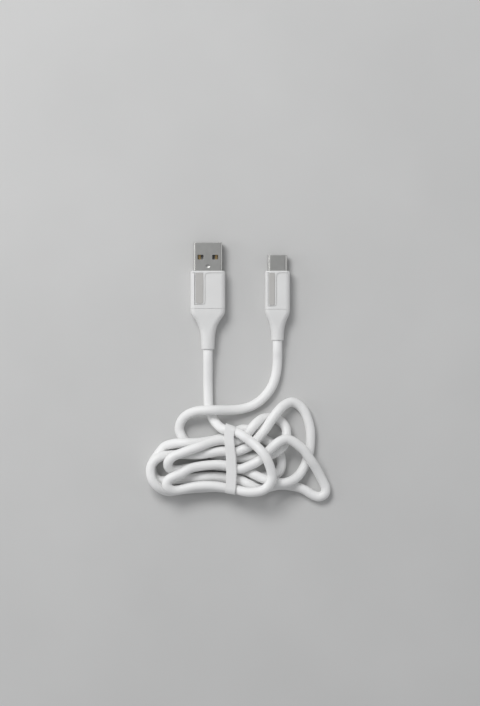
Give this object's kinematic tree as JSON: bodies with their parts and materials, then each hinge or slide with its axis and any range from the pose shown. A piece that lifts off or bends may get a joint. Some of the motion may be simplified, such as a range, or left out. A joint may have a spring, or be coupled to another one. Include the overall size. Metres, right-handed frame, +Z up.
{
  "type": "charging cable",
  "caption": "White charging cable with a USB-A plug and a USB-C plug, laid flat, its slack gathered in a hank under a flat tie band.",
  "frame": {"origin": "bottom centre of the box round the two plugs, on the surface that the cable lies on", "axes": "+Y from the hank towards the tips of both plugs, +Z up from the surface, +X to the right, towards the USB-C plug"},
  "size_m": [0.0777, 0.1091, 0.0154],
  "materials": {
    "plug_steel": "satin nickel",
    "insulator": "matte",
    "contact_gold": "gold plated",
    "wire_red": "matte",
    "wire_white": "matte",
    "wire_green": "matte",
    "wire_black": "matte",
    "inner_mould": "matte",
    "housing_white": "matte",
    "inlay_grey": "matte",
    "board_green": "solder mask",
    "resistor_black": "matte",
    "cord_jacket": "soft matte",
    "tie_white": "satin"
  },
  "bodies": {
    "cable": {"usb_a_shell": "plug_steel", "usb_a_tongue": "insulator", "usb_a_contact_vbus": "contact_gold", "usb_a_contact_d_minus": "contact_gold", "usb_a_contact_d_plus": "contact_gold", "usb_a_contact_gnd": "contact_gold", "usb_a_wire_red": "wire_red", "usb_a_wire_white": "wire_white", "usb_a_wire_green": "wire_green", "usb_a_wire_black": "wire_black", "usb_a_crimp_ring": "plug_steel", "usb_a_inner_mould": "inner_mould", "usb_a_housing": "housing_white", "usb_a_inlay": "inlay_grey", "usb_a_strain_relief": "housing_white", "cord_a_end": "cord_jacket", "usb_c_shell": "plug_steel", "usb_c_contact_carrier": "insulator", "usb_c_upper_contacts": "contact_gold", "usb_c_lower_contacts": "contact_gold", "usb_c_emi_spring_top": "plug_steel", "usb_c_emi_spring_bottom": "plug_steel", "usb_c_circuit_board": "board_green", "usb_c_resistor": "resistor_black", "usb_c_wire_red": "wire_red", "usb_c_wire_white": "wire_white", "usb_c_wire_green": "wire_green", "usb_c_wire_black": "wire_black", "usb_c_crimp_ring": "plug_steel", "usb_c_inner_mould": "inner_mould", "usb_c_housing": "housing_white", "usb_c_inlay": "inlay_grey", "usb_c_strain_relief": "housing_white", "cord_c_end": "cord_jacket", "cord_a_lead": "cord_jacket", "cord_bundle": "cord_jacket", "cord_c_lead": "cord_jacket", "tie_band": "tie_white"},
    "left_latch": {"usb_c_left_latch": "plug_steel"},
    "right_latch": {"usb_c_right_latch": "plug_steel"}
  },
  "joints": [
    {"name": "left_latch_flex", "type": "hinge", "parent": "cable", "child": "left_latch", "pos_m": [0.01222, 0.0086, 0.00325], "axis": [0, 0, 1], "range_deg": [0, 1.8], "stiffness_Nm_per_rad": 0.02},
    {"name": "right_latch_flex", "type": "hinge", "parent": "cable", "child": "right_latch", "pos_m": [0.01912, 0.0086, 0.00325], "axis": [0, 0, -1], "range_deg": [0, 1.8], "stiffness_Nm_per_rad": 0.02}
  ]
}
